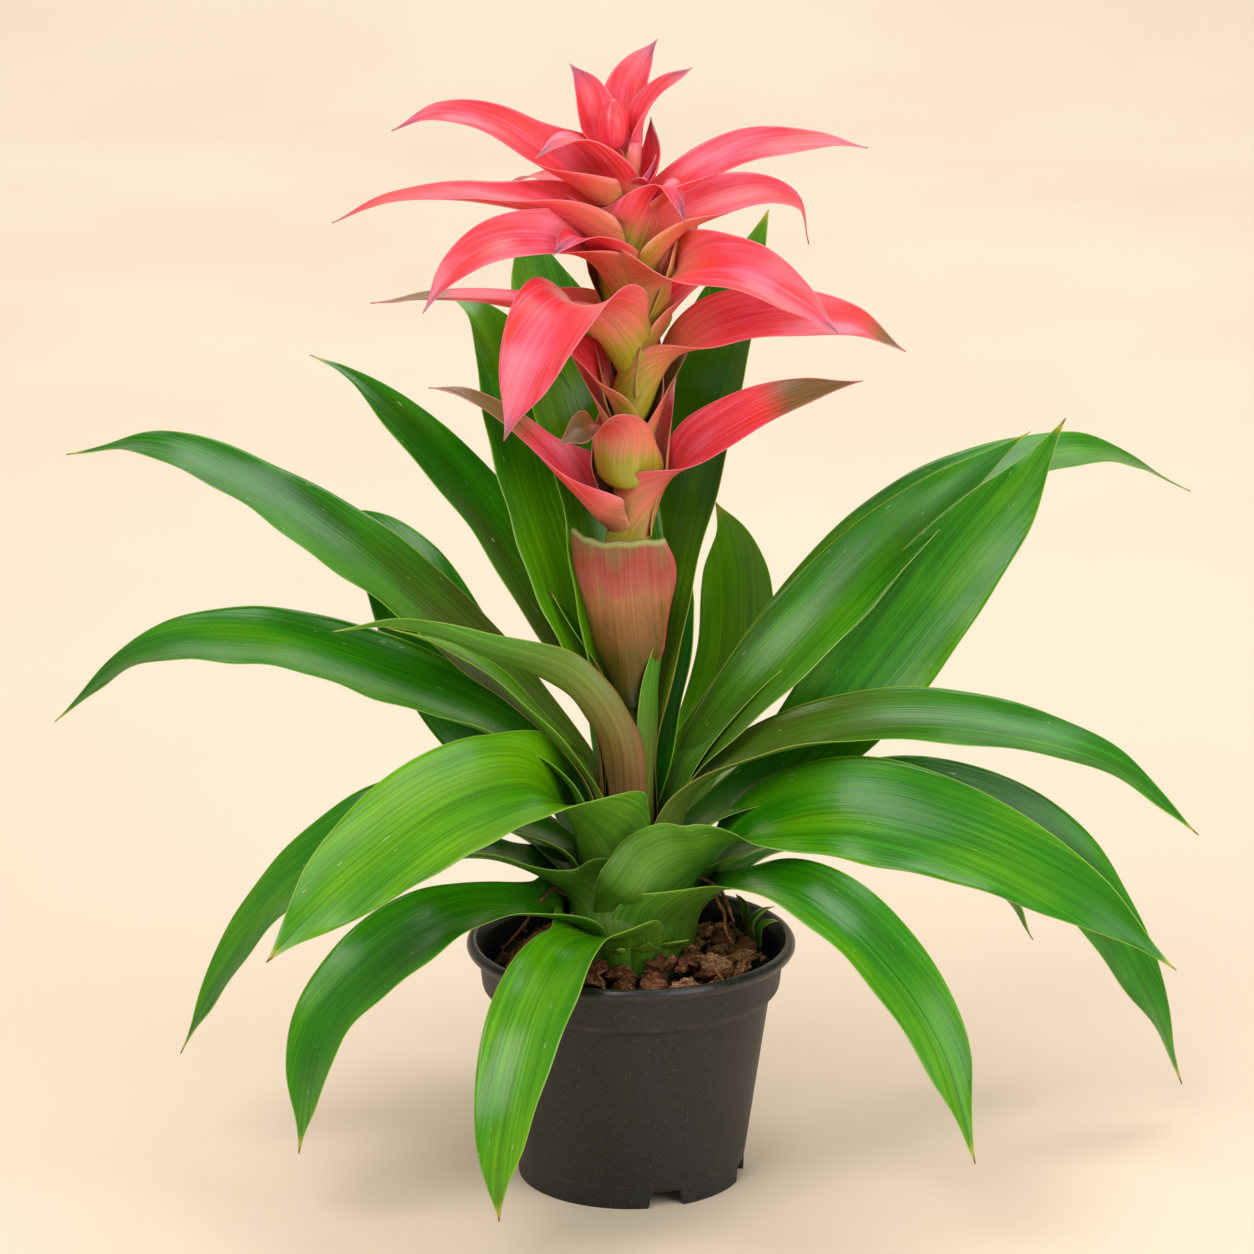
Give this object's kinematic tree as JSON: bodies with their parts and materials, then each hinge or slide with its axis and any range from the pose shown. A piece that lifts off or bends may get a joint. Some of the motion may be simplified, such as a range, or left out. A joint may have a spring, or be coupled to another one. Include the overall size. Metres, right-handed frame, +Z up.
{
  "type": "potted guzmania",
  "caption": "Guzmania in a black nursery pot: arching strap leaves round an upright stalk that carries a head of coral-red bracts, in bark.",
  "frame": {"origin": "centre of the plant's footprint on the floor, on the axis of the pot", "axes": "+Z up along the pot's axis, +Y away from the front view of the picture, +X to its right"},
  "size_m": [0.4593, 0.2617, 0.4532],
  "materials": {
    "pot_plastic": "satin",
    "bark_mix": "matte",
    "crown_tissue": "satin",
    "leaf_blade": "gloss",
    "bract_blade": "satin",
    "dry_sheath": "satin"
  },
  "bodies": {
    "root": {"pot": "pot_plastic", "potting_bark": "bark_mix", "crown_and_stalk": "crown_tissue", "leaf_01": "leaf_blade", "leaf_02": "leaf_blade", "leaf_03": "leaf_blade", "leaf_04": "leaf_blade", "leaf_05": "leaf_blade", "leaf_06": "leaf_blade", "leaf_07": "leaf_blade", "leaf_08": "leaf_blade", "leaf_09": "leaf_blade", "leaf_10": "leaf_blade", "leaf_11": "leaf_blade", "leaf_12": "leaf_blade", "leaf_13": "leaf_blade", "leaf_14": "leaf_blade", "leaf_15": "leaf_blade", "leaf_16": "leaf_blade", "leaf_17": "leaf_blade", "leaf_18": "leaf_blade", "leaf_19": "leaf_blade", "leaf_20": "leaf_blade", "leaf_21": "leaf_blade", "leaf_22": "leaf_blade", "leaf_23": "leaf_blade", "leaf_24": "leaf_blade", "leaf_25": "leaf_blade", "leaf_26": "leaf_blade", "leaf_27": "leaf_blade", "leaf_28": "leaf_blade", "leaf_29": "leaf_blade", "leaf_30": "leaf_blade", "stalk_leaf_1": "dry_sheath", "stalk_leaf_2": "dry_sheath", "sheath_1": "dry_sheath", "sheath_2": "dry_sheath", "sheath_3": "dry_sheath", "flower_head": "bract_blade"}
  },
  "joints": []
}
